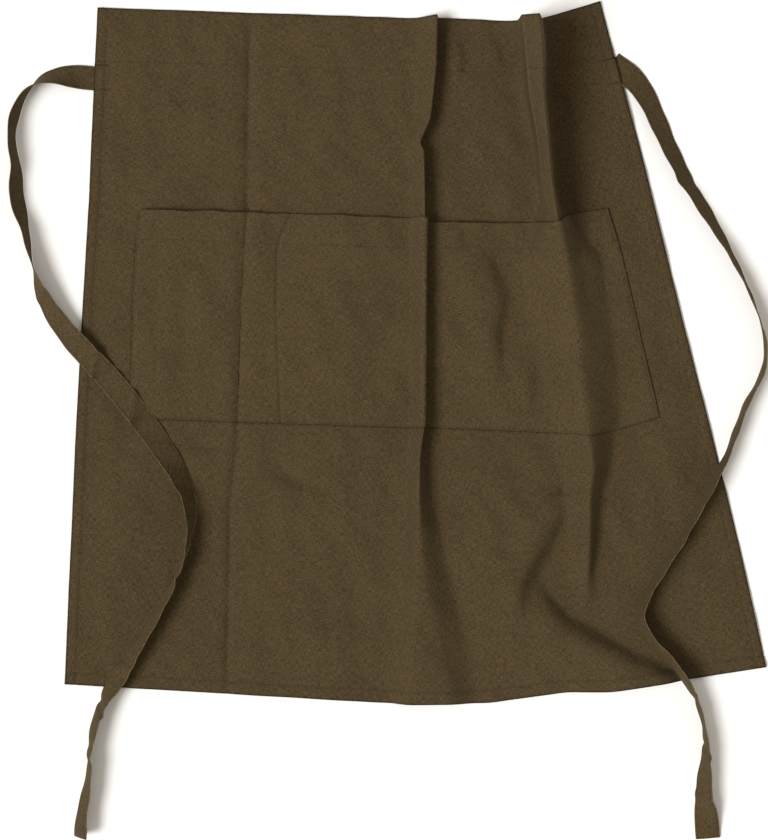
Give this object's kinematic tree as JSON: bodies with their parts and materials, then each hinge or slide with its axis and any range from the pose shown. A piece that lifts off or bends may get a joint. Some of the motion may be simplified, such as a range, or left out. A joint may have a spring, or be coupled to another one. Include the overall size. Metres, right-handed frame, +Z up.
{
  "type": "half apron",
  "caption": "Half apron of cotton canvas laid out flat, with a divided front pocket, a standing fold at the waist and two long tape ties.",
  "frame": {"origin": "on the table under the middle of the spread apron, ties left out", "axes": "+X towards the wearer's left side as seen face up (right in plan), +Y from the hem to the waist, +Z up from the table"},
  "size_m": [0.8063, 0.8625, 0.0888],
  "materials": {
    "canvas": "dull cotton canvas, dark olive brown",
    "pocket_canvas": "dull cotton canvas, dark olive brown",
    "tie_tape": "folded canvas tape, dark olive brown",
    "thread": "cotton sewing thread in the cloth's colour"
  },
  "bodies": {
    "root": {"skirt_panel": "canvas", "pocket_panel": "pocket_canvas", "left_tie": "tie_tape", "right_tie": "tie_tape", "left_side_hem_thread": "thread", "right_side_hem_thread": "thread", "bottom_hem_thread": "thread", "waist_hem_thread": "thread", "left_tie_anchor_thread": "thread", "right_tie_anchor_thread": "thread", "pocket_edge_thread": "thread", "pocket_mouth_thread": "thread", "pocket_divider_thread": "thread"}
  },
  "joints": []
}
